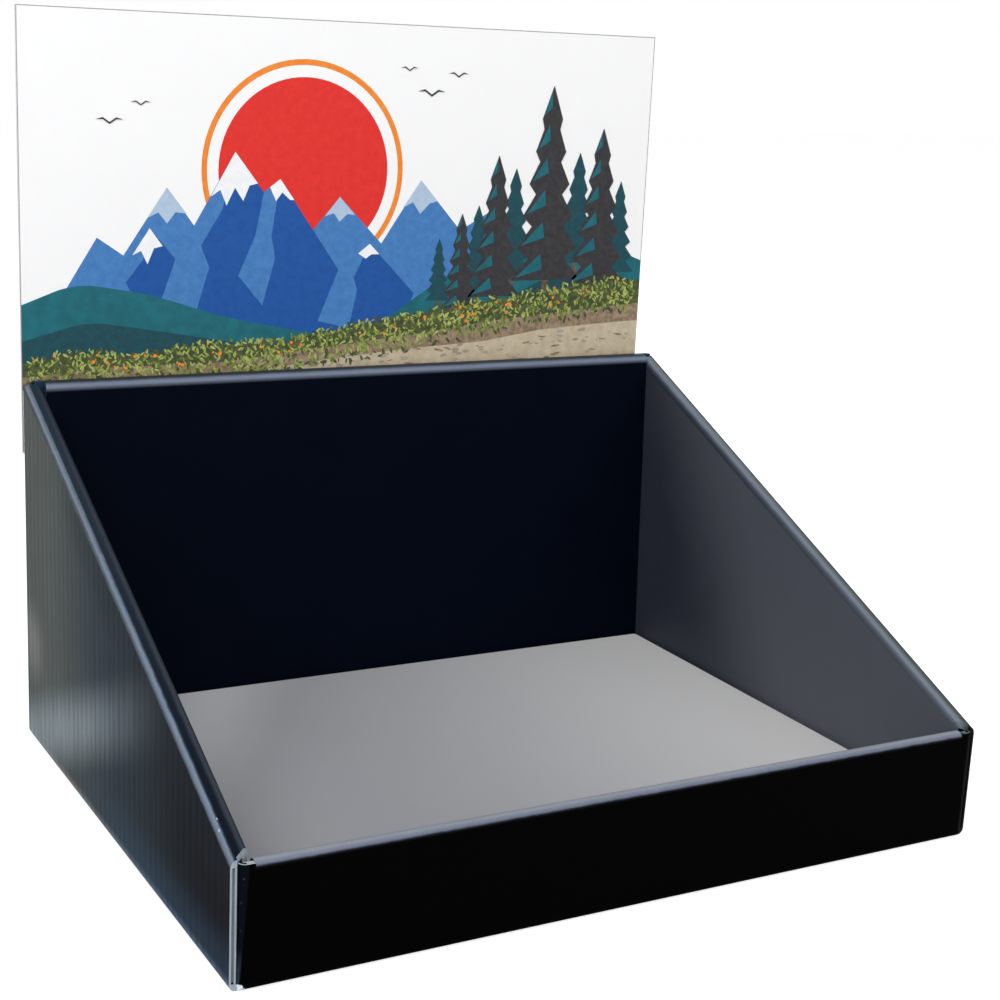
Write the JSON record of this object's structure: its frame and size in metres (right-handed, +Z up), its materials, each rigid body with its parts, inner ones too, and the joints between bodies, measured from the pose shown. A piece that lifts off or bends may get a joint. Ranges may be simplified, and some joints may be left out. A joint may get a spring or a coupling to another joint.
{
  "type": "cardboard display stand",
  "caption": "Open counter display tray folded from black corrugated board, with sloping rolled side walls, a raised grey floor and a printed header card behind the back wall.",
  "frame": {"origin": "middle of the whole stand's footprint, on the surface it stands on", "axes": "+Z up; +X to the right seen from the open front; the low front wall faces -Y and the header card stands at the +Y side"},
  "size_m": [0.33, 0.2642, 0.3235],
  "materials": {
    "black_board": "black-printed liner with a faint satin sheen",
    "grey_board": "plain grey liner, matte",
    "header_board": "white solid board, printed on the front, matte",
    "tape": "white foam tape, sticky on both faces"
  },
  "bodies": {
    "root": {"tray": "black_board", "floor_insert": "grey_board", "header_card": "header_board", "header_tape_upper": "tape", "header_tape_lower": "tape"}
  },
  "joints": []
}
